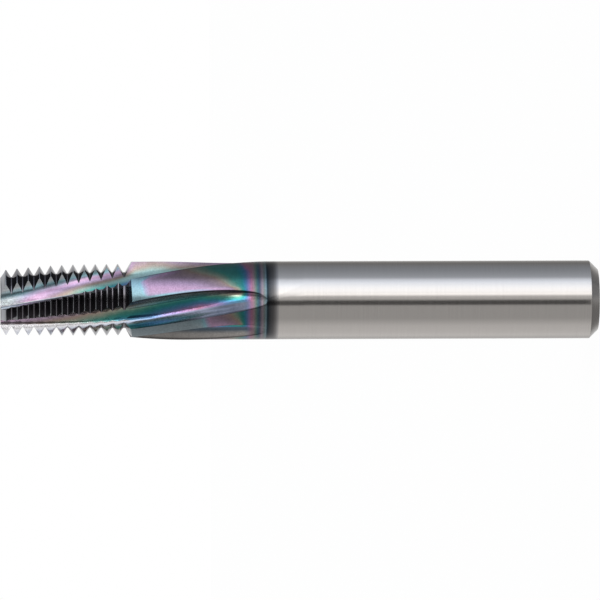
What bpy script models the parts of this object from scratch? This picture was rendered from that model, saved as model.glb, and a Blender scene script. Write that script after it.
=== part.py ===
"""Thread mill: a solid carbide cutter for tapered pipe thread, ground from one round bar.

The tool stands on its shank end with its axis along +Z and its cutting head up. Lengths in
the values below are millimetres and angles are degrees. A distance called "behind the face"
runs from the front face of the head towards the shank end.
"""
import math

import bpy

MM = 0.001

# Bar and shank
LENGTH = 97.1
SHANK_DIAMETER = 12.7       # the fluted body behind the thread has the same diameter
END_CHAMFER = 1.4           # at 45 degrees round the shank end

# Thread form: rows of teeth without any helix of their own
PITCH = 25.4 / 14
TOOTH_ROWS = 11
FIRST_CREST_DIAMETER = 11.09
TAPER = 1 / 16              # growth of the diameter for each unit of length
FLANK_ANGLE = 30.0          # from the plane across the axis
FLAT = 0.12                 # width of a crest flat and of a root flat
LAST_ROOT = 0.2             # how much wider the last root is, before the flank up to the body
TOOTH_RELIEF = 0.35         # drop of the teeth from the leading edge to the heel

# Flutes: left-hand, with unequal spacing and unequal helix, so that the cut doesn't chatter
FLUTES = (                  # leading edge at the front face, helix angle on the shank diameter, width
    (-16.5, 14.6, 47.0),
    (64.0, 13.6, 45.0),
    (131.0, 14.6, 45.0),
    (196.5, 15.2, 43.0),
    (277.4, 10.7, 44.7),
)
FLOOR_BELOW_ROOT = 0.5      # how far the flute floor lies under the thread roots
RAKE = 6.0
GULLET_CORNER = 8.0         # angle taken by the rounded corner between rake face and floor
CORNER_HEIGHT = 1.2         # how high above the floor that corner starts
HEEL_CURVE = 0.2            # power that bends the heel wall: 1 is a plain ramp, 0 a step
FULL_FLUTE = 3.0            # fluted body between the thread and the start of the run-out
WHEEL_RADIUS = 86.0         # of the grinding wheel, which lifts out along this arc
RUNOUT_LEAN = 12.0          # how far the rake wall lies back halfway up the run-out
RUNOUT_TIP = 9.0            # angle from the leading edge's helix to the point where a flute ends
RUNOUT_NARROWING = 0.56     # power by which the flute narrows as it gets shallower
CORNER_NARROWING = 0.35     # the same for its rounded corner
TIP_BLUNTNESS = 8           # a higher power keeps the leading edge on its helix for longer

# Facets
LAND_STEPS = 7
RAKE_HEIGHTS = (0.62, 0.28, 0.08)
HEEL_HEIGHTS = (0.0, 0.01, 0.08, 0.25, 0.55)
BODY_STEPS = 2
RUNOUT_STEPS = 12
BLEND_LENGTH = 6.0          # bar behind the flutes where the facets even out
BLEND_STEPS = 4

BODY_RADIUS = SHANK_DIAMETER / 2
FLANK_SLOPE = math.tan(math.radians(FLANK_ANGLE))
TOOTH_HEIGHT = (PITCH / 2 - FLAT) / FLANK_SLOPE
THREAD_END = TOOTH_ROWS * PITCH + FLAT / 2 + LAST_ROOT


def crest_line(t):
    """Radius of the cone through the tooth crests, t behind the face."""
    return FIRST_CREST_DIAMETER / 2 + (t - PITCH / 2) * TAPER / 2


def root_line(t):
    return crest_line(t) - TOOTH_HEIGHT


def thread_radius(t):
    """Radius of the zigzag of crests and roots at a leading edge."""
    from_crest = abs(t % PITCH - PITCH / 2) if t < TOOTH_ROWS * PITCH else PITCH / 2
    depth = (from_crest - FLAT / 2) / FLANK_SLOPE
    return crest_line(t) - min(max(depth, 0.0), TOOTH_HEIGHT)


def land_radius(t, share):
    """Radius of a land, share of the way from its leading edge (0) to its heel (1)."""
    drop = TOOTH_RELIEF * share
    if t <= THREAD_END:
        return thread_radius(t) - drop
    flank = root_line(THREAD_END) + (t - THREAD_END) / FLANK_SLOPE
    return min(BODY_RADIUS, flank - drop)


BODY_START = THREAD_END + (BODY_RADIUS - root_line(THREAD_END)) * FLANK_SLOPE
HEEL_BODY_START = BODY_START + TOOTH_RELIEF * FLANK_SLOPE
RUNOUT_START = HEEL_BODY_START + FULL_FLUTE
FLUTE_DEPTH = BODY_RADIUS - root_line(THREAD_END) + FLOOR_BELOW_ROOT
FLUTE_END = RUNOUT_START + math.sqrt(2 * WHEEL_RADIUS * FLUTE_DEPTH)


def floor_radius(t):
    """Radius of the flute floor: parallel to the thread, then level, then the wheel's arc."""
    lift = max(t - RUNOUT_START, 0.0) ** 2 / (2 * WHEEL_RADIUS)
    return root_line(min(t, THREAD_END)) - FLOOR_BELOW_ROOT + lift


def wall_height(t, share):
    """Height of a land's rim over the floor, which is nothing where the flutes end."""
    return max(land_radius(t, share) - floor_radius(t), 0.0)


def helix_turn(helix, t):
    """Angle that a flute turns through over the distance t."""
    return math.degrees(math.tan(math.radians(helix)) * t / BODY_RADIUS)


def depth_left(t):
    """Share of the full flute depth that the run-out leaves, 1 to 0."""
    lift = max(t - RUNOUT_START, 0.0) ** 2 / (2 * WHEEL_RADIUS)
    return max(1 - lift / FLUTE_DEPTH, 0.0)


def share_of(height, whole):
    """Height as a share of a whole that may have shrunk to nothing."""
    return min(height / max(whole, 0.001), 1.0)


def rake_angle(t, height):
    """Angle of the rake face past the leading edge's helix, height above the floor."""
    left = depth_left(t)
    wall = FLUTE_DEPTH * left
    hook = math.degrees(math.tan(math.radians(RAKE)) * (wall - height) / (floor_radius(t) + height))
    lean = RUNOUT_LEAN * 2 * math.sqrt(left * (1 - left)) * (1 - share_of(height, wall))
    to_tip = RUNOUT_TIP * (1 - math.sqrt(1 - (1 - left) ** TIP_BLUNTNESS))
    below = 1 - share_of(height, CORNER_HEIGHT * left)
    corner = GULLET_CORNER * left ** CORNER_NARROWING * (1 - math.sqrt(1 - below ** 2))
    return to_tip + lean + corner - hook


def heel_angle(t, height, width):
    """Angle of the heel wall, which starts where the rounded corner ends."""
    left = depth_left(t)
    start = rake_angle(t, 0.0)
    heel = RUNOUT_TIP + (width - RUNOUT_TIP) * left ** RUNOUT_NARROWING
    return start + (heel - start) * share_of(height, FLUTE_DEPTH * left) ** HEEL_CURVE


def flute_points(t, edge, width):
    """Angles and radii from the leading edge, down the rake face and up the heel wall."""
    floor = floor_radius(t)
    points = []
    for part in RAKE_HEIGHTS:
        height = part * wall_height(t, 0.0)
        points.append((edge + rake_angle(t, height), floor + height))
    for part in HEEL_HEIGHTS:
        height = part * wall_height(t, 1.0)
        points.append((edge + heel_angle(t, height, width), floor + height))
    return points


def fluted_ring(t):
    """Angles and radii round the head, one land and the flute behind it after another."""
    lead_height = wall_height(t, 0.0)
    heel_height = wall_height(t, 1.0)
    ring = []
    for i, (start, helix, width) in enumerate(FLUTES):
        before, helix_before, width_before = FLUTES[i - 1]
        edge = start + helix_turn(helix, t)
        edge_before = before + helix_turn(helix_before, t) - (360 if i == 0 else 0)
        heel = edge_before + heel_angle(t, heel_height, width_before)
        lead = edge + rake_angle(t, lead_height)
        for step in range(LAND_STEPS + 1):
            share = 1 - step / LAND_STEPS
            ring.append((lead + (heel - lead) * share, land_radius(t, share)))
        ring.extend(flute_points(t, edge, width))
    return ring


def shank_ring(t, radius):
    """The last fluted ring's angles on a plain circle, evened out over the blend."""
    ring = fluted_ring(FLUTE_END)
    even = min((t - FLUTE_END) / BLEND_LENGTH, 1.0)
    step = 360 / len(ring)
    middle = sum(angle - step * i for i, (angle, _) in enumerate(ring)) / len(ring)
    return [(angle + (middle + step * i - angle) * even, radius) for i, (angle, _) in enumerate(ring)]


def spread(start, end, steps):
    """The places after start, up to and with end, in equal steps."""
    return [start + (end - start) * (i + 1) / steps for i in range(steps)]


def fluted_places():
    places = [0.0]
    for row in range(TOOTH_ROWS):
        crest = (row + 0.5) * PITCH
        if row > 0:
            places.append(row * PITCH + FLAT / 2)
        places.extend([crest - FLAT / 2, crest + FLAT / 2, (row + 1) * PITCH - FLAT / 2])
    places.extend([THREAD_END, BODY_START, HEEL_BODY_START])
    places.extend(spread(HEEL_BODY_START, RUNOUT_START, BODY_STEPS))
    places.extend(spread(RUNOUT_START, FLUTE_END, RUNOUT_STEPS))
    return places


def placed(ring, t):
    """Points in metres. Angle 0 looks along -Y, 90 along +X."""
    points = []
    for angle, radius in ring:
        turn = math.radians(angle)
        x = radius * math.sin(turn)
        y = -radius * math.cos(turn)
        points.append((x * MM, y * MM, (LENGTH - t) * MM))
    return points


def thread_mill_mesh():
    """All rings from the front face down to the shank end, joined by quads and capped."""
    rings = [placed(fluted_ring(t), t) for t in fluted_places()]
    for t in spread(FLUTE_END, FLUTE_END + BLEND_LENGTH, BLEND_STEPS):
        rings.append(placed(shank_ring(t, BODY_RADIUS), t))
    rings.append(placed(shank_ring(LENGTH, BODY_RADIUS), LENGTH - END_CHAMFER))
    rings.append(placed(shank_ring(LENGTH, BODY_RADIUS - END_CHAMFER), LENGTH))
    count = len(rings[0])
    faces = [tuple(range(count))]
    for i in range(len(rings) - 1):
        for j in range(count):
            upper = i * count + j
            beside = i * count + (j + 1) % count
            faces.append((upper, upper + count, beside + count, beside))
    last = (len(rings) - 1) * count
    faces.append(tuple(reversed(range(last, last + count))))
    mesh = bpy.data.meshes.new("thread_mill")
    mesh.from_pydata([point for ring in rings for point in ring], [], faces)
    mesh.shade_smooth()
    mesh.set_sharp_from_angle(angle=math.radians(30))
    return mesh


def carbide():
    """Ground carbide with a thin dark coating on the head."""
    material = bpy.data.materials.new("ground_carbide")
    material.use_nodes = True
    shader = material.node_tree.nodes["Principled BSDF"]
    shader.inputs["Base Color"].default_value = (0.42, 0.41, 0.43, 1)
    shader.inputs["Metallic"].default_value = 1.0
    shader.inputs["Roughness"].default_value = 0.28
    return material


for old in list(bpy.data.objects):
    bpy.data.objects.remove(old)
tool = bpy.data.objects.new("thread_mill", thread_mill_mesh())
tool.data.materials.append(carbide())
bpy.context.collection.objects.link(tool)
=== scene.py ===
"""Looks of the thread mill: ground carbide, bare on the shank and iridescent on the fluted head.

The tool stands on its shank end with its axis along +Z. Sizes are millimetres and angles are
degrees up to the point where the mesh is placed, which is in metres. "Behind the face" runs from
the front face of the head towards the shank end. Angle 0 faces -Y and angle 90 faces +X.
"""
import math

import bmesh
import bpy
from mathutils import Matrix, Vector


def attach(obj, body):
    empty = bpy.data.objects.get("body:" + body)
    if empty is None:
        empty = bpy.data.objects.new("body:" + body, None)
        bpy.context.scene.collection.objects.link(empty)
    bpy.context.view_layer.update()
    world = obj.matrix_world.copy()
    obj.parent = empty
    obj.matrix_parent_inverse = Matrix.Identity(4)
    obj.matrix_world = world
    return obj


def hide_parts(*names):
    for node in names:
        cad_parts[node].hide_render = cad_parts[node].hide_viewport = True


MM = 0.001
RADIANS = math.pi / 180
DEGREES = 180 / math.pi
TINY = 0.001                # keeps a division off zero, and a comparison off a row of points

# Sizes of the tool, which are also the named inputs of its geometry nodes
SIZES = {
    "Length": 97.1,
    "Body Radius": 6.35,
    "End Chamfer": 1.4,
    "Pitch": 25.4 / 14,
    "Tooth Rows": 11,
    "First Crest Radius": 5.545,
    "Radius Taper": 1 / 32,
    "Flank Angle": 30.0,
    "Flat": 0.12,
    "Last Root": 0.2,
    "Tooth Relief": 0.35,
    "Floor Below Root": 0.5,
    "Rake": 6.0,
    "Gullet Corner": 8.0,
    "Corner Height": 1.2,
    "Heel Curve": 0.2,
    "Full Flute": 3.0,
    "Wheel Radius": 86.0,
    "Runout Lean": 12.0,
    "Runout Tip": 9.0,
    "Runout Narrowing": 0.56,
    "Corner Narrowing": 0.35,
    "Tip Bluntness": 8.0,
    "Blend Length": 6.0,
    "Edge Rounding": 0.05,
}
# Leading edge at the face, helix and width of each flute
FLUTES = (
    (-16.5, 14.6, 47.0),
    (64.0, 13.6, 45.0),
    (131.0, 14.6, 45.0),
    (196.5, 15.2, 43.0),
    (277.4, 10.7, 44.7),
)
SECTOR_ANGLE = 360 / len(FLUTES)
BODY_ROUNDING = 0.8         # of the edge rounding, where the last flank meets the body
LEAST_ROUNDING = 0.0001

# Facets of one sector: a land and the flute behind it
LAND_COLUMNS = 18
RAKE_COLUMNS = 14
HEEL_COLUMNS = 22
COLUMNS = LAND_COLUMNS + RAKE_COLUMNS + HEEL_COLUMNS
ROWS_PER_TOOTH = 14
THREAD_ROWS = SIZES["Tooth Rows"] * ROWS_PER_TOOTH
ROWS_BEHIND = (1, 8, 8, 40, 14, 6, 5)   # last root, flank, body, run-out, blend, shank, chamfer
ROWS = THREAD_ROWS + sum(ROWS_BEHIND)
BUNCHING = 0.85             # draws the rows of a tooth towards its crest and roots
RUNOUT_EASE = 1.6           # powers that draw rows and columns towards one end
SHANK_EASE = 3
RAKE_EASE = 1.6
HEEL_EASE = 4
SURFACES = 4                # land, rake face and wall take a quarter each of the map across them
WELD = 0.5e-6               # metres, between points of neighbouring sectors
SHARP_ANGLE = 32.0

# Camera, as the photograph has it: the tip at the left, seen from beside the tip
FRAME_PIXELS = 600
PIXELS_PER_MM = 6.154
CAMERA_DISTANCE = 1.08
CAMERA_ROLL = -0.18
AXIS_OFFSET_PIXELS = 0.21
AIM_OFFSET = -0.11          # millimetres from the middle of the tool, along +Z
SENSOR_WIDTH = 36.0


class Value:
    """One number or colour in a node tree. Python's operators on it add Math nodes."""

    def __init__(self, tree, socket):
        self.tree = tree
        self.socket = socket

    def math(self, operation, *others):
        return self.tree.maths(operation, self, *others)

    def __add__(self, other):
        return self.math("ADD", other)

    def __radd__(self, other):
        return self.math("ADD", other)

    def __sub__(self, other):
        return self.math("SUBTRACT", other)

    def __rsub__(self, other):
        return self.tree.maths("SUBTRACT", other, self)

    def __mul__(self, other):
        return self.math("MULTIPLY", other)

    def __rmul__(self, other):
        return self.math("MULTIPLY", other)

    def __truediv__(self, other):
        return self.math("DIVIDE", other)

    def __rtruediv__(self, other):
        return self.tree.maths("DIVIDE", other, self)

    def __pow__(self, other):
        return self.math("POWER", other)

    def __neg__(self):
        return self.math("MULTIPLY", -1)

    def __abs__(self):
        return self.math("ABSOLUTE")

    def __gt__(self, other):
        return self.math("GREATER_THAN", other)

    def __lt__(self, other):
        return self.math("LESS_THAN", other)


class Tree:
    """A node tree that is built by one method, which takes a type, settings and values."""

    def __init__(self, tree):
        self.tree = tree

    def node(self, kind, settings=None, values=None):
        node = self.tree.nodes.new(kind)
        for name, setting in (settings or {}).items():
            if name == "stops":
                set_stops(node.color_ramp, setting)
            else:
                setattr(node, name, setting)
        for name, value in (values or {}).items():
            if isinstance(value, Value):
                self.tree.links.new(value.socket, node.inputs[name])
            else:
                node.inputs[name].default_value = value
        return node

    def value(self, kind, settings=None, values=None, output=0):
        return Value(self, self.node(kind, settings, values).outputs[output])

    def maths(self, operation, *operands):
        return self.value("ShaderNodeMath", {"operation": operation}, dict(enumerate(operands)))

    def clamp(self, value, low=0.0, high=1.0):
        limits = {"Value": value, "Min": low, "Max": high}
        return self.value("ShaderNodeClamp", None, limits)

    def step(self, value, none, full):
        """0 at the first place and outside it, 1 at the second and beyond, and smooth between."""
        span = {"Value": value, "From Min": none, "From Max": full}
        return self.value("ShaderNodeMapRange", {"interpolation_type": "SMOOTHSTEP"}, span)

    def band(self, value, none, full, fading, gone):
        """1 from full to fading and 0 outside none and gone, and smooth between."""
        return self.step(value, none, full) * self.step(value, gone, fading)

    def line(self, value, low, high, start=0.0, end=1.0):
        """start up to low, end from high, and a straight line between."""
        span = {"Value": value, "From Min": low, "From Max": high, "To Min": start, "To Max": end}
        return self.value("ShaderNodeMapRange", None, span)

    def mix(self, factor, first, second, blend="MIX"):
        """The colour first where factor is 0 and second where it is 1."""
        settings = {"data_type": "RGBA", "blend_type": blend}
        return self.value("ShaderNodeMix", settings, {0: factor, 6: first, 7: second}, 2)

    def scaled(self, colour, factor):
        """The colour times one number."""
        return self.mix(1.0, colour, self.vector(factor, factor, factor), "MULTIPLY")

    def ramp(self, value, stops):
        return self.value("ShaderNodeValToRGB", {"stops": stops}, {"Fac": value})

    def parts(self, vector):
        node = self.node("ShaderNodeSeparateXYZ", None, {"Vector": vector})
        return [Value(self, socket) for socket in node.outputs]

    def vector(self, x, y, z):
        return self.value("ShaderNodeCombineXYZ", None, {"X": x, "Y": y, "Z": z})

    def noise(self, vector, scale, detail=2.0, roughness=0.5):
        sizes = {"Vector": vector, "Scale": scale, "Detail": detail, "Roughness": roughness}
        return self.value("ShaderNodeTexNoise", None, sizes)


def set_stops(ramp, stops):
    """Gives a colour ramp these (place, colour) stops."""
    while len(ramp.elements) < len(stops):
        ramp.elements.new(1.0)
    for element, (place, colour) in zip(ramp.elements, stops):
        element.position = place
        element.color = (*colour, 1.0)


def grey(level):
    return (level, level, level)


class ToolForm:
    """The rules of the tool's surface, as node maths on one sector's columns and rows."""

    def __init__(self, size):
        self.size = size
        self.slope = (size["Flank Angle"] * RADIANS).math("TANGENT")
        self.tooth_height = (size["Pitch"] / 2 - size["Flat"]) / self.slope
        self.teeth_length = size["Tooth Rows"] * size["Pitch"]
        self.thread_end = self.teeth_length + size["Flat"] / 2 + size["Last Root"]
        self.end_root = self.crest_line(self.thread_end) - self.tooth_height
        self.body_start = self.thread_end + (size["Body Radius"] - self.end_root) * self.slope
        self.slant = size["Tooth Relief"] * self.slope
        self.runout_start = self.body_start + self.slant + size["Full Flute"]
        self.depth = size["Body Radius"] - self.end_root + size["Floor Below Root"]
        self.runout = (size["Wheel Radius"] * self.depth * 2).math("SQRT")
        self.flute_end = self.runout_start + self.runout

    def crest_line(self, t):
        size = self.size
        return size["First Crest Radius"] + (t - size["Pitch"] / 2) * size["Radius Taper"]

    def land_radius(self, t, share):
        """Teeth up to their last root, then the flank up to the body, with rounded edges."""
        size = self.size
        rounding = size["Edge Rounding"]
        from_crest = abs((t / size["Pitch"]).math("FRACT") - 0.5) * size["Pitch"]
        past_teeth = t > self.teeth_length - TINY
        from_crest = from_crest + (size["Pitch"] / 2 - from_crest) * past_teeth
        fall = (from_crest - size["Flat"] / 2) / self.slope
        fall = fall.math("SMOOTH_MAX", 0.0, rounding)
        fall = fall.math("SMOOTH_MIN", self.tooth_height, rounding)
        drop = size["Tooth Relief"] * share
        teeth = self.crest_line(t) - fall - drop
        flank = self.end_root + (t - self.thread_end) / self.slope - drop
        raised = flank.math("MAXIMUM", teeth)
        body = t > self.thread_end
        formed = teeth + (raised - teeth) * body
        at_body = rounding * BODY_ROUNDING + LEAST_ROUNDING
        return formed.math("SMOOTH_MIN", size["Body Radius"], at_body)

    def floor_lift(self, t):
        """How far the grinding wheel's arc has lifted the flute floor in the run-out."""
        into_runout = (t - self.runout_start).math("MAXIMUM", 0.0)
        return into_runout ** 2 / (self.size["Wheel Radius"] * 2)

    def floor_radius(self, t):
        size = self.size
        level = self.crest_line(t.math("MINIMUM", self.thread_end)) - self.tooth_height
        floor = level - size["Floor Below Root"] + self.floor_lift(t)
        return floor.math("MINIMUM", size["Body Radius"])

    def depth_left(self, t):
        """Share of the full flute depth that the run-out leaves, 1 to 0."""
        return (1 - self.floor_lift(t) / self.depth).math("MAXIMUM", 0.0)

    def share_of(self, height, whole):
        """Height as a share of a whole that may have shrunk to nothing."""
        return (height / whole.math("MAXIMUM", TINY)).math("MINIMUM", 1.0)

    def rake_angle(self, t, height):
        """Angle of the rake face, with its rounded corner, past the leading edge's helix."""
        size = self.size
        left = self.depth_left(t)
        wall = self.depth * left
        hook = (size["Rake"] * RADIANS).math("TANGENT") * (wall - height)
        hook = hook / (self.floor_radius(t) + height) * DEGREES
        lean = size["Runout Lean"] * 2 * (left * (1 - left)).math("SQRT")
        lean = lean * (1 - self.share_of(height, wall))
        to_tip = size["Runout Tip"] * (1 - (1 - (1 - left) ** size["Tip Bluntness"]).math("SQRT"))
        below = 1 - self.share_of(height, size["Corner Height"] * left)
        corner = size["Gullet Corner"] * left ** size["Corner Narrowing"]
        corner = corner * (1 - (1 - below * below).math("SQRT"))
        return to_tip + lean + corner - hook

    def gullet_angle(self, t):
        """Angle where the rounded corner ends and the heel wall starts."""
        return self.rake_angle(t, t * 0.0)

    def heel_angle(self, t, height, width):
        """Angle of the wall that rises from the gullet to the heel of the land behind."""
        size = self.size
        left = self.depth_left(t)
        start = self.gullet_angle(t)
        heel = size["Runout Tip"] + (width - size["Runout Tip"]) * left ** size["Runout Narrowing"]
        share = self.share_of(height, self.depth * left)
        return start + (heel - start) * share ** size["Heel Curve"]

    def helix_turn(self, helix, t):
        """Angle that a flute turns through over the distance t."""
        return (helix * RADIANS).math("TANGENT") * t / self.size["Body Radius"] * DEGREES


def progress(tree, place, start, count):
    """How far this row or column has come through the count of them from start, 0 to 1."""
    return tree.clamp((place - start) / count)


def bunched(rows, waves):
    """Draws evenly spaced rows together at places that lie one wave apart."""
    turn = waves * 2 * math.pi
    return rows - (rows * turn).math("SINE") * (BUNCHING / turn)


def eased(part, power):
    """Makes the steps shrink towards the end of a part."""
    return 1 - (1 - part) ** power


def distance_behind_face(tree, form, row, share):
    """Distance of a row behind the face, and how far the blend to the plain shank has come.

    The rows round a tooth's end follow its relief: share is 0 at the leading edge, 1 at the heel.
    """
    size = form.size
    stages = []
    first = THREAD_ROWS
    for count in ROWS_BEHIND:
        stages.append(progress(tree, row, first, count))
        first += count
    root, flank, body, runout, blend, shank, chamfer = stages
    teeth = row.math("MINIMUM", float(THREAD_ROWS)) / ROWS_PER_TOOTH
    slant = form.slant * share
    plain = size["Length"] - size["End Chamfer"] - form.flute_end - size["Blend Length"]
    t = bunched(teeth, 2) * size["Pitch"]
    t = t + root * (form.thread_end - form.teeth_length)
    t = t + bunched(flank, 1) * (form.body_start + slant - form.thread_end)
    t = t + body ** 2 * (size["Full Flute"] + form.slant - slant)
    t = t + eased(runout, RUNOUT_EASE) * form.runout
    t = t + blend * size["Blend Length"]
    t = t + eased(shank, SHANK_EASE) * plain
    t = t + chamfer * size["End Chamfer"]
    return t, blend


def stored_map(tree, geometry, name, vector):
    """The geometry with this vector stored as a UV map."""
    settings = {"data_type": "FLOAT2", "domain": "CORNER"}
    values = {"Geometry": geometry, "Name": name, "Value": vector}
    return tree.value("GeometryNodeStoreNamedAttribute", settings, values)


def sector_group():
    """A node tree whose inputs are the sizes, the places of a sector's edges and a material."""
    group = bpy.data.node_groups.new("land_and_flute", "GeometryNodeTree")
    group.interface.new_socket("Geometry", in_out="OUTPUT", socket_type="NodeSocketGeometry")
    places = {"Sector": 0.0, "Leading Edge": 0.0, "Helix": 15.0, "Width": 45.0,
              "Edge Before": -SECTOR_ANGLE, "Helix Before": 15.0, "Width Before": 45.0,
              "Shank Turn": 0.0}
    for name, value in {**SIZES, **places}.items():
        socket = group.interface.new_socket(name, in_out="INPUT", socket_type="NodeSocketFloat")
        socket.default_value = value
    group.interface.new_socket("Material", in_out="INPUT", socket_type="NodeSocketMaterial")
    return group


def sector_tree():
    """Geometry nodes for one land and the flute behind it, from the face to the shank end."""
    group = sector_group()
    tree = Tree(group)
    given = tree.node("NodeGroupInput")
    size = {socket.name: Value(tree, socket) for socket in given.outputs if socket.name}
    form = ToolForm(size)
    grid = tree.node("GeometryNodeMeshGrid", None, {
        "Size X": 1.0, "Size Y": 1.0, "Vertices X": COLUMNS + 1, "Vertices Y": ROWS + 1})
    across, along, _ = tree.parts(tree.value("GeometryNodeInputPosition"))
    column = ((across + 0.5) * COLUMNS).math("ROUND")
    row = ((along + 0.5) * ROWS).math("ROUND")

    land = progress(tree, column, 0, LAND_COLUMNS)
    rake = progress(tree, column, LAND_COLUMNS, RAKE_COLUMNS)
    heel = progress(tree, column, LAND_COLUMNS + RAKE_COLUMNS, HEEL_COLUMNS)
    share = 1 - land + heel
    t, blend = distance_behind_face(tree, form, row, share)
    held = t.math("MINIMUM", form.flute_end)
    floor = form.floor_radius(held)
    lead_height = (form.land_radius(held, 0.0) - floor).math("MAXIMUM", 0.0)
    heel_height = (form.land_radius(held, 1.0) - floor).math("MAXIMUM", 0.0)
    edge = size["Leading Edge"] + form.helix_turn(size["Helix"], held)
    edge_before = size["Edge Before"] + form.helix_turn(size["Helix Before"], held)

    lead_angle = edge + form.rake_angle(held, lead_height)
    heel_before = edge_before + form.heel_angle(held, heel_height, size["Width Before"])
    land_angle = heel_before + (lead_angle - heel_before) * land
    rake_height = lead_height * (1 - rake) ** RAKE_EASE
    rake_angle = edge + form.rake_angle(held, rake_height)
    heel_rise = heel_height * heel ** HEEL_EASE
    heel_angle = edge + form.heel_angle(held, heel_rise, size["Width"])

    on_land = column < LAND_COLUMNS + 0.5
    on_heel = column > LAND_COLUMNS + RAKE_COLUMNS + 0.5
    on_rake = 1 - on_land - on_heel
    angle = land_angle * on_land + rake_angle * on_rake + heel_angle * on_heel
    radius = form.land_radius(held, share) * on_land + (floor + rake_height) * on_rake
    radius = radius + (floor + heel_rise) * on_heel
    even = size["Shank Turn"] + (size["Sector"] + column / COLUMNS) * SECTOR_ANGLE
    angle = angle + (even - angle) * blend
    chamfered = size["Body Radius"] + size["Length"] - size["End Chamfer"] - t
    radius = radius.math("SMOOTH_MIN", chamfered, size["Edge Rounding"] * 2)

    turn = angle * RADIANS
    place = tree.vector(radius * turn.math("SINE") * MM, radius * turn.math("COSINE") * -MM,
                        (size["Length"] - t) * MM)
    start = form.gullet_angle(held)
    full_height = form.depth * form.depth_left(held)
    wall_width = form.heel_angle(held, full_height, size["Width"]) - start
    up_wall = (heel_angle - edge - start) / wall_width.math("MAXIMUM", TINY)
    surface = land * on_land + (1 + rake) * on_rake + (2 + up_wall) * on_heel
    flat = stored_map(tree, Value(tree, grid.outputs["Mesh"]), "Surfaces",
                      tree.vector(surface / SURFACES, along + 0.5, 0.0))
    moved = tree.value("GeometryNodeSetPosition", None, {"Geometry": flat, "Position": place})
    u, v, _ = tree.parts(Value(tree, grid.outputs["UV Map"]))
    around = tree.vector((u + size["Sector"]) / len(FLUTES), v, 0.0)
    mapped = stored_map(tree, moved, "UVMap", around)
    real = tree.value("GeometryNodeRealizeInstances", None, {"Geometry": mapped})
    covered = {"Geometry": real, "Material": size["Material"]}
    finished = tree.value("GeometryNodeSetMaterial", None, covered)
    tree.node("NodeGroupOutput", None, {"Geometry": finished})
    return group


def set_inputs(modifier, group, values):
    """Sets a modifier's inputs by the identifiers of the sockets with these names."""
    for item in group.interface.items_tree:
        if item.in_out == "INPUT" and item.name in values:
            modifier[item.identifier] = values[item.name]


def flute_end():
    """Where the flutes end behind the face, worked out as the nodes do."""
    slope = math.tan(math.radians(SIZES["Flank Angle"]))
    tooth_height = (SIZES["Pitch"] / 2 - SIZES["Flat"]) / slope
    thread_end = SIZES["Tooth Rows"] * SIZES["Pitch"] + SIZES["Flat"] / 2 + SIZES["Last Root"]
    crest = SIZES["First Crest Radius"] + (thread_end - SIZES["Pitch"] / 2) * SIZES["Radius Taper"]
    rise = SIZES["Body Radius"] - crest + tooth_height
    depth = rise + SIZES["Floor Below Root"]
    start = thread_end + (rise + SIZES["Tooth Relief"]) * slope + SIZES["Full Flute"]
    return start + math.sqrt(2 * SIZES["Wheel Radius"] * depth)


def shank_turn():
    """Turn of the evenly spaced shank columns that lies nearest to the flutes' ends."""
    end = flute_end()
    total = 0.0
    for i, (start, helix, _) in enumerate(FLUTES):
        turn = math.degrees(math.tan(math.radians(helix)) * end / SIZES["Body Radius"])
        total += start + turn - SECTOR_ANGLE * i
    return total / len(FLUTES) - SECTOR_ANGLE * LAND_COLUMNS / COLUMNS


def sector_mesh(group, values):
    """The plain mesh that the nodes make of one sector."""
    seed = bpy.data.objects.new("sector", bpy.data.meshes.new("sector"))
    bpy.context.collection.objects.link(seed)
    modifier = seed.modifiers.new("land_and_flute", "NODES")
    modifier.node_group = group
    set_inputs(modifier, group, values)
    evaluated = seed.evaluated_get(bpy.context.evaluated_depsgraph_get())
    sector = bpy.data.meshes.new_from_object(evaluated)
    bpy.data.objects.remove(seed)
    return sector


def close_ends(bm, end_material):
    """Caps the front face and the shank end with one flat face each."""
    rims = [edge for edge in bm.edges if edge.is_boundary]
    made = bmesh.ops.edgeloop_fill(bm, edges=rims)
    for face in made["faces"]:
        face.material_index = end_material
        face.smooth = False


def tool_piece(group, materials):
    """One closed mesh from the five sectors."""
    bm = bmesh.new()
    turn = shank_turn()
    for i, (start, helix, width) in enumerate(FLUTES):
        before, helix_before, width_before = FLUTES[i - 1]
        sector = sector_mesh(group, {
            "Sector": float(i), "Leading Edge": start, "Helix": helix, "Width": width,
            "Edge Before": before - (360.0 if i == 0 else 0.0), "Helix Before": helix_before,
            "Width Before": width_before, "Shank Turn": turn, "Material": materials[0]})
        bm.from_mesh(sector)
        bpy.data.meshes.remove(sector)
    bmesh.ops.remove_doubles(bm, verts=bm.verts, dist=WELD)
    for face in bm.faces:
        face.smooth = True
        face.material_index = 0
    close_ends(bm, 1)
    bmesh.ops.recalc_face_normals(bm, faces=bm.faces)
    mesh = bpy.data.meshes.new("ground_tool")
    bm.to_mesh(mesh)
    bm.free()
    mesh.set_sharp_from_angle(angle=math.radians(SHARP_ANGLE))
    mesh.uv_layers.active = mesh.uv_layers["UVMap"]
    mesh.uv_layers["UVMap"].active_render = True
    for material in materials:
        mesh.materials.append(material)
    tool = bpy.data.objects.new("ground_tool", mesh)
    bpy.context.collection.objects.link(tool)
    return tool


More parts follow.
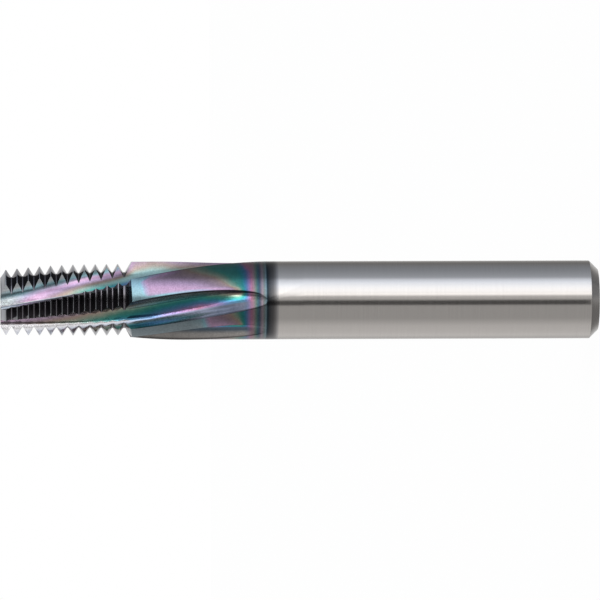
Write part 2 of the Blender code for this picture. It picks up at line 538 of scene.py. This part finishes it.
# Colours of the coating from bare metal to its full thickness, set from colours read in the
# photograph, with the studio's level taken off
FILM = (
    (0.000, (0.46, 0.437, 0.42)),
    (0.020, (0.30, 0.29, 0.29)),
    (0.040, (0.17, 0.165, 0.165)),
    (0.060, (0.085, 0.083, 0.085)),
    (0.085, (0.04, 0.043, 0.047)),
    (0.100, (0.012, 0.022, 0.03)),
    (0.125, (0.04, 0.07, 0.085)),
    (0.145, (0.12, 0.17, 0.195)),
    (0.170, (0.10, 0.13, 0.13)),
    (0.200, (0.17, 0.135, 0.16)),
    (0.240, (0.045, 0.06, 0.09)),
    (0.270, (0.035, 0.08, 0.10)),
    (0.300, (0.08, 0.12, 0.105)),
    (0.330, (0.185, 0.12, 0.14)),
    (0.360, (0.22, 0.095, 0.155)),
    (0.390, (0.15, 0.10, 0.20)),
    (0.420, (0.06, 0.10, 0.19)),
    (0.450, (0.03, 0.11, 0.17)),
    (0.480, (0.018, 0.12, 0.125)),
    (0.520, (0.04, 0.135, 0.11)),
    (0.570, (0.16, 0.17, 0.135)),
    (0.610, (0.18, 0.135, 0.115)),
    (0.660, (0.165, 0.12, 0.15)),
    (0.700, (0.22, 0.155, 0.22)),
    (0.750, (0.29, 0.19, 0.28)),
    (0.800, (0.24, 0.23, 0.32)),
    (0.850, (0.17, 0.30, 0.35)),
    (0.950, (0.22, 0.23, 0.24)),
)

# Places in FILM along the tool, as distance behind the face and place: on the lands, at the
# coating's end, and in the gullets of the flutes that were coated first and of the others. Growth
# is what a wall adds to that up to its heel
LAND_FILM = (
    (-25.0, 0.86), (-8.0, 0.83), (2.0, 0.785), (8.0, 0.76), (14.0, 0.75), (20.0, 0.72),
    (24.0, 0.68), (29.0, 0.63), (31.5, 0.555), (34.0, 0.51), (36.5, 0.495), (38.2, 0.465),
    (38.8, 0.40), (39.3, 0.365), (40.3, 0.34), (42.5, 0.30),
)
END_FILM = (
    (38.0, 0.48), (39.4, 0.43), (40.3, 0.38), (40.9, 0.33), (41.3, 0.30), (41.6, 0.27),
    (41.9, 0.24), (42.3, 0.20), (42.7, 0.17), (42.9, 0.145), (43.03, 0.125), (43.15, 0.10),
    (43.5, 0.085), (44.1, 0.06), (44.5, 0.04), (44.8, 0.02), (45.1, 0.0),
)
FIRST_GULLET = (
    (0.0, 0.80), (3.3, 0.76), (6.5, 0.71), (9.8, 0.615), (13.0, 0.54), (16.3, 0.495),
    (19.2, 0.45), (21.9, 0.37), (24.4, 0.345), (30.0, 0.33), (36.0, 0.36), (40.0, 0.40),
)
FIRST_GROWTH = (
    (0.0, 0.20), (6.5, 0.22), (9.8, 0.35), (13.0, 0.36), (16.3, 0.40), (19.2, 0.37),
    (21.9, 0.29), (26.0, 0.29), (29.0, 0.33), (40.0, 0.33),
)
OTHER_GULLET = (
    (0.0, 0.66), (6.5, 0.61), (9.8, 0.57), (13.0, 0.54), (16.3, 0.505), (19.2, 0.465),
    (21.9, 0.445), (24.4, 0.425), (29.3, 0.38), (32.5, 0.365), (34.9, 0.39), (37.4, 0.435),
    (39.0, 0.46), (41.0, 0.455),
)
OTHER_GROWTH = (26.0, 34.0, 0.155, 0.20)    # two distances, and the growth at each
HEEL_SPREAD = 1.6           # how much sooner the land's film changes towards its heel
LOWER_SPREAD = 1.4          # and on the lands below the upper one
THICKEST = 0.87             # place in FILM that a land stops at
LOWER_THICKEST = 0.05       # what the lower lands add to that
FRONT_FILM = 0.17           # more film on a land: on its front, behind its leading edge, along
EDGE_FILM = 0.13            # the heel of the upper land, and on the front of the lower lands
RIM_FILM = 0.07
LOWER_FILM = 0.16
TOOTH_HEEL_FILM = 0.05      # and on the walls at the heels of the teeth
UNEVEN_DISTANCE = 2.0       # how far the unevenness shifts a land's film along the tool
UNEVEN_FILM = 0.05          # and how much it changes a wall's

# Flutes by their number in FLUTES
FIRST_COATED = 2            # how many of them, from the first on, were coated first
NEAREST = 4                 # faces the camera

# Painted light and shade on the walls near the tip, in the flutes that were coated first: gain,
# and where it lies along the tool and up the wall
TIP_PAINTED_LIGHT_AND_SHADE = (
    (0.9, (16.0, 12.0), (0.74, 0.86)),
    (-0.6, (13.0, 9.0), (0.25, 0.45, 0.60, 0.75)),
    (1.2, (8.0, 5.0), (0.60, 0.72, 0.78, 0.86)),
    (0.8, (9.0, 5.0), (0.25, 0.10)),
)
# Painted light on the walls of the other flutes
OTHER_WALL_PAINTED_LIGHT = 0.2            # of the other walls, and more of it in their run-out
RUNOUT_PAINTED_LIGHT = 0.45
# Painted shade on the lower lands
LOWER_PAINTED_SHADE = 0.35           # of the lower lands
# Painted light: a pale colour in the upper walls of the flutes coated first, where their film is
# thin
PAINTED_LIGHT_WALL = (0.38, 0.50, 0.49, 1)
PAINTED_LIGHT_SHARE = 0.6
# Painted highlight: near-white walls at the tip
TIP_PAINTED_HIGHLIGHT = (0.80, 0.88, 0.92, 1)

# Rake face of the nearest flute, with bands of painted light and shade, as places between two
# distances behind the face
RAKE_SPAN = (18.0, 42.0)
RAKE_COLOURS_AND_PAINTED_LIGHT = (
    (0.04, (0.30, 0.295, 0.305)), (0.25, (0.26, 0.31, 0.40)), (0.50, (0.42, 0.43, 0.54)),
    (0.62, (0.36, 0.37, 0.45)), (0.72, (0.16, 0.175, 0.22)), (0.82, (0.085, 0.09, 0.115)),
)
BROWN_RAKE = (0.27, 0.255, 0.245, 1)
# Painted shade deep in the other rake faces
RAKE_PAINTED_SHADE = (0.05, 0.07, 0.09, 1)
# Painted shade on the nearest rake face near its gullet, and a painted highlight in that gullet
NEAR_RAKE_PAINTED_SHADE = 0.5          # of the nearest rake face, where it nears its gullet
GULLET_HIGHLIGHT_SHARE = 0.85         # of the film's colour in that gullet
# Painted shade: thin dark lines along the leading edges and heels
LEADING_EDGE_SHADE = 0.6          # darkness of the thin lines along leading edges and heels
HEEL_EDGE_SHADE = 0.85

# Bare teeth with painted shade on their flanks and thin painted highlights on their crests and
# roots, by the distance from each
SHADED_TOOTH_FLANK = (0.10, 0.095, 0.105, 1)
TOOTH_CREST_HIGHLIGHT = (0.28, 0.285, 0.305, 1)
TOOTH_ROOT_HIGHLIGHT = (0.22, 0.21, 0.23, 1)
CREST_HIGHLIGHT_SPAN = (0.11, 0.06)
ROOT_HIGHLIGHT_SPAN = (0.11, 0.05)
FRONT_FLANK_HIGHLIGHT = (0.9, 0.8)
LAST_FLANK = 0.9            # how far it reaches behind the rows of teeth
BODY_FROM = 20.6            # the round body starts here, where the surface faces outwards
OUTWARD = 0.2

# Painted shade on the chamfer at the shank end
CHAMFER_PAINTED_SHADE = 0.36
MOTTLE_SCALE = 900.0        # noise, for each metre
CLOUD_SCALE = 160.0
SPECKLE_SCALE = 4200.0
SHANK_RINGS = 9000
END_RINGS = 14000
STREAKS = 90                # across one surface
GRAIN_SPAN = (0.3, 0.7)     # of the noise that rings and streaks are made of
GRAIN_DEPTH = 0.00002       # metres
BARE_ROUGHNESS = 0.13
RAKE_SATIN = 0.13           # more roughness on the nearest rake face, and on the walls at the tip
TIP_SATIN = 0.16


def film_by_distance(tree, t, points):
    """A number that follows (distance, value) points along the tool."""
    low, high = points[0][0], points[-1][0]
    stops = [((distance - low) / (high - low), grey(value)) for distance, value in points]
    return tree.parts(tree.ramp(tree.line(t, low, high), stops))[0]


def new_material(name):
    """A material without nodes, and its tree."""
    material = bpy.data.materials.new(name)
    material.use_nodes = True
    material.node_tree.nodes.clear()
    return material, Tree(material.node_tree)


def finish_material(tree, values):
    """Gives a material its shader with these values, and its output."""
    shader = tree.value("ShaderNodeBsdfPrincipled", None, values)
    tree.node("ShaderNodeOutputMaterial", None, {"Surface": shader})


class Surface:
    """Where a shaded point lies on the tool, as values in a material's tree."""

    def __init__(self, tree):
        self.tree = tree
        coordinates = tree.node("ShaderNodeTexCoord")
        self.place = Value(tree, coordinates.outputs["Object"])
        self.x, self.y, self.z = tree.parts(self.place)
        self.facing_up = tree.parts(Value(tree, coordinates.outputs["Normal"]))[2]
        around = tree.parts(tree.value("ShaderNodeUVMap", {"uv_map": "UVMap"}))[0]
        across = tree.parts(tree.value("ShaderNodeUVMap", {"uv_map": "Surfaces"}))[0]
        self.t = (SIZES["Length"] * MM - self.z) / MM
        sector = around * len(FLUTES)
        column = sector.math("FRACT")
        self.flute = sector.math("FLOOR")
        self.on_land = column < LAND_COLUMNS / COLUMNS
        self.on_wall = column > (LAND_COLUMNS + RAKE_COLUMNS) / COLUMNS
        self.on_rake = 1 - self.on_land - self.on_wall
        self.across = across * SURFACES
        self.land = tree.clamp(self.across)
        self.down_rake = tree.clamp(self.across - 1)
        self.up_wall = tree.clamp(self.across - 2)
        self.first_coated = self.flute < FIRST_COATED - 0.5
        self.nearest = self.flute > NEAREST - 0.5
        self.lower = self.flute > 0.5
        self.first_wall = self.first_coated * self.on_wall
        self.other_wall = self.on_wall - self.first_wall

    def where(self, **windows):
        """1 inside every window and 0 outside: places of none and full, or of a whole band."""
        shares = []
        for name, places in windows.items():
            fade = self.tree.step if len(places) == 2 else self.tree.band
            shares.append(fade(getattr(self, name), *places))
        product = shares[0]
        for share in shares[1:]:
            product = product * share
        return product


def coating_film(at, unevenness):
    """Place in FILM: thick on the lands, thinner down in the flutes and at the coating's end."""
    tree = at.tree
    end = LAND_FILM[-1][0]
    spread = 1 + (1 - at.land) ** 2 * HEEL_SPREAD + at.lower * LOWER_SPREAD
    stretched = end - (end - at.t) * spread
    stretched = stretched + (at.t - stretched) * (at.t > end)
    land_film = film_by_distance(tree, stretched + unevenness * UNEVEN_DISTANCE, LAND_FILM)
    land_film = land_film + at.where(t=(24.4, 21.6)) * FRONT_FILM
    land_film = land_film + at.where(land=(0.72, 0.95), t=(31.0, 24.0)) * EDGE_FILM
    rim = at.where(land=(0.14, 0.03), t=(41.0, 37.0)) * (1 - at.lower)
    land_film = land_film + rim * RIM_FILM + at.lower * at.where(t=(34.5, 32.0)) * LOWER_FILM
    land_film = land_film.math("MINIMUM", THICKEST + at.lower * LOWER_THICKEST)

    growth = film_by_distance(tree, at.t, FIRST_GROWTH) * at.up_wall ** 1.5
    first_wall = film_by_distance(tree, at.t, FIRST_GULLET) + growth
    growth = at.up_wall * tree.line(at.t, *OTHER_GROWTH)
    other_wall = film_by_distance(tree, at.t, OTHER_GULLET) + growth
    tooth_heel = at.where(up_wall=(0.74, 0.88), t=(21.0, 19.5)) * TOOTH_HEEL_FILM
    wall_film = other_wall + (first_wall + tooth_heel - other_wall) * at.first_coated
    wall_film = wall_film + unevenness * UNEVEN_FILM
    film = wall_film + (land_film - wall_film) * at.on_land
    ended = film.math("MINIMUM", film_by_distance(tree, at.t, END_FILM))
    return film + (ended - film) * at.where(t=(38.2, 40.4))


def wall_colour(at, film, colour):
    """Painted light and shade: paler, brighter walls in the flutes, darker lower lands, and a
    painted highlight at the tip.
    """
    tree = at.tree
    # painted light: paler upper walls where the film is thin
    pale = at.first_wall * at.where(t=(40.0, 32.0), up_wall=(0.0, 0.45))
    colour = tree.mix(pale * tree.step(film, 0.60, 0.50) * PAINTED_LIGHT_SHARE, colour, PAINTED_LIGHT_WALL)
    # painted light on the walls of the flutes that were coated first, with less of it on the tooth
    # tops
    tooth_tops = at.where(up_wall=(0.50, 0.74), t=(21.5, 20.0))
    first = tree.line(at.t, 8.0, 14.0, 0.4, 0.8)
    first = first - tooth_tops * tree.line(at.t, 12.0, 16.0, 0.35, 1.1)
    for gain, along, up in TIP_PAINTED_LIGHT_AND_SHADE:
        first = first + at.where(t=along, up_wall=up) * gain
    # painted light on the other walls and their run-out, and painted shade on the lower lands
    runout = at.where(t=(30.0, 33.0, 38.0, 40.6), up_wall=(0.0, 0.15, 0.5, 0.8))
    painted_light_gain = at.first_wall * first + at.other_wall * (runout * RUNOUT_PAINTED_LIGHT + OTHER_WALL_PAINTED_LIGHT)
    painted_light_gain = painted_light_gain - at.on_land * at.lower * at.where(t=(38.0, 30.0)) * LOWER_PAINTED_SHADE
    colour = tree.scaled(colour, 1 + painted_light_gain * at.where(t=(43.0, 41.0)))
    # painted highlight: the walls at the tip turn near white
    tip = at.first_wall * at.where(up_wall=(0.55, 0.20), t=(4.5, 1.0))
    return tree.mix(tip, colour, TIP_PAINTED_HIGHLIGHT)


def rake_colour(at, colour):
    """Satin rake face in the nearest flute and brown ones in the others, with painted shade towards
    the gullets, a painted highlight in the nearest gullet and painted light towards the run-out.
    """
    tree = at.tree
    # the nearest rake face's colours along it, with lighter and darker bands of painted light and
    # shade
    face = tree.ramp(tree.line(at.t, *RAKE_SPAN), RAKE_COLOURS_AND_PAINTED_LIGHT)
    # painted shade deep in the other rake faces, and painted light towards their run-out
    brown = tree.mix(at.where(down_rake=(0.25, 0.75)), BROWN_RAKE, RAKE_PAINTED_SHADE)
    brown = tree.scaled(brown, tree.line(at.t, 28.0, 38.0, 1.0, 1.45))
    face = tree.mix((1 - at.nearest) * at.where(t=(18.0, 23.0)), face, brown)
    # painted shade on the nearest rake face near its gullet
    near_rake_shade = at.where(down_rake=(0.42, 0.62), t=(22.0, 26.0, 36.0, 39.0)) * at.nearest
    face = tree.scaled(face, 1 - near_rake_shade * NEAR_RAKE_PAINTED_SHADE)
    # painted highlight: the bright line in the nearest flute's gullet
    gullet = at.where(down_rake=(0.68, 0.92)) * at.nearest * GULLET_HIGHLIGHT_SHARE
    gain = tree.line(at.t, 12.0, 23.0, 1.2, 4.0) * tree.line(at.t, 25.0, 33.0, 1.0, 0.25)
    face = tree.mix(gullet, face, tree.scaled(colour, gain))
    return tree.mix(at.on_rake * at.where(t=(41.5, 39.0)), colour, face)


def edge_painted_shade(at):
    """Painted shade: darkness of the thin lines along the leading edges and the heels."""
    leading = at.on_rake * at.where(down_rake=(0.16, 0.04))
    leading = leading + at.on_land * at.where(land=(0.965, 0.99))
    heel = at.on_land * at.where(land=(0.03, 0.005))
    heel = heel + at.other_wall * at.where(up_wall=(0.945, 0.975))
    return (leading * LEADING_EDGE_SHADE + heel * HEEL_EDGE_SHADE) * at.where(t=(21.3, 22.5, 41.5, 43.0))


def tooth_colour(at):
    """Painted shade on the flanks, painted highlights on the crests and roots, and a painted
    highlight on the front flank.
    """
    tree = at.tree
    pitch = SIZES["Pitch"]
    from_crest = abs((at.t / pitch).math("FRACT") - 0.5) * pitch
    bright = tree.clamp(tree.step(from_crest, *CREST_HIGHLIGHT_SPAN) + at.where(t=FRONT_FLANK_HIGHLIGHT))
    tooth = tree.mix(bright, SHADED_TOOTH_FLANK, TOOTH_CREST_HIGHLIGHT)
    return tree.mix(tree.step(pitch / 2 - from_crest, *ROOT_HIGHLIGHT_SPAN), tooth, TOOTH_ROOT_HIGHLIGHT)


def tool_material():
    """Bare ground carbide on the shank and a rainbow film on the head."""
    material, tree = new_material("ground_and_coated_carbide")
    at = Surface(tree)
    mottle = tree.noise(at.place, MOTTLE_SCALE, 3.0, 0.6) - 0.5
    cloud = tree.noise(at.place, CLOUD_SCALE) - 0.5
    speckle = tree.noise(at.place, SPECKLE_SCALE, 1.0) - 0.5
    film = coating_film(at, cloud + mottle * 0.6)
    colour = wall_colour(at, film, tree.ramp(film, FILM))
    colour = rake_colour(at, colour)
    colour = tree.scaled(colour, 1 - edge_painted_shade(at))
    on_body = (abs(at.facing_up) < OUTWARD) * (at.t > BODY_FROM)
    in_teeth = (at.t < SIZES["Tooth Rows"] * SIZES["Pitch"] + LAST_FLANK) * at.on_land
    in_teeth = in_teeth * (1 - on_body)
    colour = tree.mix(in_teeth, colour, tooth_colour(at))
    # painted shade: the chamfer is darker
    chamfer = at.t > SIZES["Length"] - SIZES["End Chamfer"] - 0.02
    colour = tree.scaled(colour, 1 - chamfer * CHAMFER_PAINTED_SHADE)

    coated = at.where(t=(44.5, 43.0))
    around = at.x.math("ARCTAN2", at.y)
    rings = tree.noise(tree.vector(around * 0.4, 0.0, at.z * SHANK_RINGS), 1.0, 3.0, 0.7)
    streaks = tree.noise(tree.vector(at.across * STREAKS, at.t * 0.35, at.flute * 7), 1.0, 2.0, 0.6)
    grain = rings + (streaks - rings) * coated * (1 - at.on_land)
    mottled = (mottle * 0.4 + speckle * 0.5) * coated * (1 - in_teeth)
    colour = tree.scaled(colour, tree.line(grain, *GRAIN_SPAN, 0.93, 1.05) + mottled)
    rake_satin = at.on_rake * at.nearest * at.where(t=(21.0, 25.0), down_rake=(0.9, 0.7))
    satin = rake_satin * RAKE_SATIN + at.first_wall * at.where(t=(10.0, 5.0)) * TIP_SATIN
    rough = BARE_ROUGHNESS + satin + coated * (at.on_land * 0.03 - at.on_wall * 0.04)
    rough = rough + (grain - 0.5) * 0.08 + chamfer * 0.15
    height = {"Strength": 0.10, "Distance": GRAIN_DEPTH, "Height": grain}
    bump = tree.value("ShaderNodeBump", None, height)
    finish_material(tree, {
        "Base Color": colour, "Roughness": rough, "Metallic": 1.0, "Normal": bump})
    return material


def end_material():
    """Flat ground ends, with the rings that a cup wheel leaves."""
    material, tree = new_material("ground_ends")
    x, y, _ = tree.parts(tree.value("ShaderNodeTexCoord", None, None, "Object"))
    distance = (x * x + y * y).math("SQRT")
    rings = tree.noise(tree.vector(distance * END_RINGS, 0.0, 0.0), 1.0, 3.0, 0.6)
    shade = tree.ramp(rings, ((0.3, (0.34, 0.33, 0.33)), (0.7, (0.44, 0.43, 0.43))))
    height = {"Strength": 0.15, "Distance": GRAIN_DEPTH, "Height": rings}
    bump = tree.value("ShaderNodeBump", None, height)
    rough = tree.line(rings, *GRAIN_SPAN, 0.30, 0.42)
    finish_material(tree, {
        "Base Color": shade, "Roughness": rough, "Metallic": 1.0, "Normal": bump})
    return material


# Floor, which goes on far outside the camera's view
FLOOR_REACH = 2.0           # metres
FLOOR_SHADE = (0.95, 0.95, 0.95, 1)
FLOOR_WHITE = 0.965         # share of plain white that the camera sees in the floor


def floor_piece():
    """A plain pale floor that stays white to the camera and keeps a faint shadow."""
    reach = FLOOR_REACH
    mesh = bpy.data.meshes.new("floor")
    corners = [(-reach, -reach, 0), (reach, -reach, 0), (reach, reach, 0), (-reach, reach, 0)]
    mesh.from_pydata(corners, [], [(0, 1, 2, 3)])
    material, tree = new_material("pale_floor")
    seen = tree.value("ShaderNodeLightPath", None, None, "Is Camera Ray")
    pale = {"Base Color": FLOOR_SHADE, "Roughness": 0.9}
    plain = tree.value("ShaderNodeBsdfPrincipled", None, pale)
    white = tree.value("ShaderNodeEmission", None, {"Color": (1, 1, 1, 1), "Strength": 1.0})
    both = tree.value("ShaderNodeMixShader", None, {0: seen * FLOOR_WHITE, 1: plain, 2: white})
    tree.node("ShaderNodeOutputMaterial", None, {"Surface": both})
    mesh.materials.append(material)
    floor = bpy.data.objects.new("floor", mesh)
    bpy.context.collection.objects.link(floor)
    floor.visible_glossy = False        # the polished metal mirrors the studio, not the floor
    floor.visible_shadow = False


# Soft studio round the tool's axis: degrees from the camera's side towards +X, and level
STUDIO = (
    (-180, 0.70), (-152, 0.64), (-128, 0.97), (-82, 0.84), (-57, 0.57), (-17, 0.56),
    (-13.5, 0.10), (-3, 0.10), (-0.5, 0.46), (3, 0.79), (10.5, 0.82), (15, 2.0), (22, 2.4),
    (42, 2.2), (62, 1.3), (69, 0.72), (77, 0.62), (93, 0.49), (137, 0.27), (150, 0.36),
    (160, 0.48), (180, 0.70),
)
STUDIO_TOP = 3.0            # no level lies above it
# Its dark gap stays dark at the heights that the shank mirrors. It is filled above and below
# them, and glows a little just above
GAP_AROUND = (-17.0, -14.0, -1.0, 2.0)
GAP_RISE = (-11.0, -9.0, 1.5, 3.0)
FILLED_LEVEL = 0.5
GLOW_RISE = (1.5, 3.0, 5.5, 7.0)
GLOW_LEVEL = 0.4
# A bright slanted strip, which makes the glint in the nearest flute
STRIP_SLOPE = 0.15
STRIP_RISE = (14.4, 15.0, 17.3, 17.9)
STRIP_AROUND = (-46.0, -40.0, 10.0, 14.0)
STRIP_LEVEL = 4.2
GROUND_RISE = (-20.0, -40.0)
GROUND_LEVEL = 0.34
COOL_AROUND = (14.0, 60.0, 100.0, 150.0)
WARM_SIDE = (1.0, 0.995, 0.985, 1)
COOL_SIDE = (0.90, 0.98, 1.10, 1)
# White background behind the tool, wider above and below its height
BEHIND = (164.0, 172.0)
BEHIND_WIDE = (140.0, 158.0)
WIDE_RISE = (8.0, 16.0)


def studio_world():
    """White behind the tool, a large soft light in front above it and grey walls to the sides."""
    world = bpy.data.worlds.new("studio")
    world.use_nodes = True
    world.node_tree.nodes.clear()
    tree = Tree(world.node_tree)
    x, y, z = tree.parts(tree.value("ShaderNodeTexCoord", None, None, "Generated"))
    around = x.math("ARCTAN2", -y) * DEGREES
    rise = z.math("ARCSINE") * DEGREES
    stops = [((angle + 180) / 360, grey(level / STUDIO_TOP)) for angle, level in STUDIO]
    level = tree.parts(tree.ramp((around + 180) / 360, stops))[0] * STUDIO_TOP
    filled = tree.band(around, *GAP_AROUND) * (1 - tree.band(rise, *GAP_RISE))
    filled = filled * (FILLED_LEVEL + tree.band(rise, *GLOW_RISE) * GLOW_LEVEL)
    level = level.math("MAXIMUM", filled)
    strip = tree.band(rise - around * STRIP_SLOPE, *STRIP_RISE) * tree.band(around, *STRIP_AROUND)
    level = level + strip * STRIP_LEVEL
    level = level + (GROUND_LEVEL - level) * tree.step(rise, *GROUND_RISE)
    tint = tree.mix(tree.band(around, *COOL_AROUND), WARM_SIDE, COOL_SIDE)

    path = tree.node("ShaderNodeLightPath")
    camera, glossy, through = [Value(tree, path.outputs[name]) for name in (
        "Is Camera Ray", "Is Glossy Ray", "Is Transmission Ray")]
    wide = tree.step(abs(around), *BEHIND_WIDE) * tree.step(abs(rise), *WIDE_RISE)
    behind = tree.step(abs(around), *BEHIND).math("MAXIMUM", wide)
    seen = tree.clamp(camera + (glossy + through) * behind)
    level = level + (1 - level) * seen
    tint = tree.mix(seen, tint, (1, 1, 1, 1))
    background = tree.value("ShaderNodeBackground", None, {"Color": tint, "Strength": level})
    tree.node("ShaderNodeOutputWorld", None, {"Surface": background})
    bpy.context.scene.world = world


def photo_camera():
    """Stands level with the tip and looks at the middle of the tool, with +X up in the picture."""
    offset = AXIS_OFFSET_PIXELS / PIXELS_PER_MM * MM
    stand = Vector((offset, -CAMERA_DISTANCE, SIZES["Length"] * MM))
    aim = Vector((offset, 0.0, (SIZES["Length"] / 2 + AIM_OFFSET) * MM))
    back = (stand - aim).normalized()
    right = Vector((1, 0, 0)).cross(back).normalized()
    up = back.cross(right)
    roll = Matrix.Rotation(math.radians(CAMERA_ROLL), 3, "Z")
    turn = Matrix((right, up, back)).transposed() @ roll
    camera = bpy.data.objects.new("camera", bpy.data.cameras.new("camera"))
    camera.matrix_world = Matrix.LocRotScale(stand, turn.to_quaternion(), None)
    camera.data.sensor_width = SENSOR_WIDTH
    seen = FRAME_PIXELS / PIXELS_PER_MM * MM
    camera.data.lens = SENSOR_WIDTH * (stand - aim).length / seen
    camera.data.clip_start = 0.01
    camera.data.clip_end = 10.0
    bpy.context.collection.objects.link(camera)
    bpy.context.scene.camera = camera


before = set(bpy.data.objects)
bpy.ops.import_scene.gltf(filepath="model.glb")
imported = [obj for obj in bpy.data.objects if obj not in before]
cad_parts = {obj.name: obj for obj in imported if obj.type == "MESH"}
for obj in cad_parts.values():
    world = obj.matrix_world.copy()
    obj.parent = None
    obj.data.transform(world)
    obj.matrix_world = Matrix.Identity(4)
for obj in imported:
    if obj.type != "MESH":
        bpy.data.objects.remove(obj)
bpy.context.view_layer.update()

tool = tool_piece(sector_tree(), [tool_material(), end_material()])
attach(tool, "root")
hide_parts("thread_mill")

floor_piece()
studio_world()
photo_camera()
bpy.context.scene.view_settings.view_transform = "Standard"
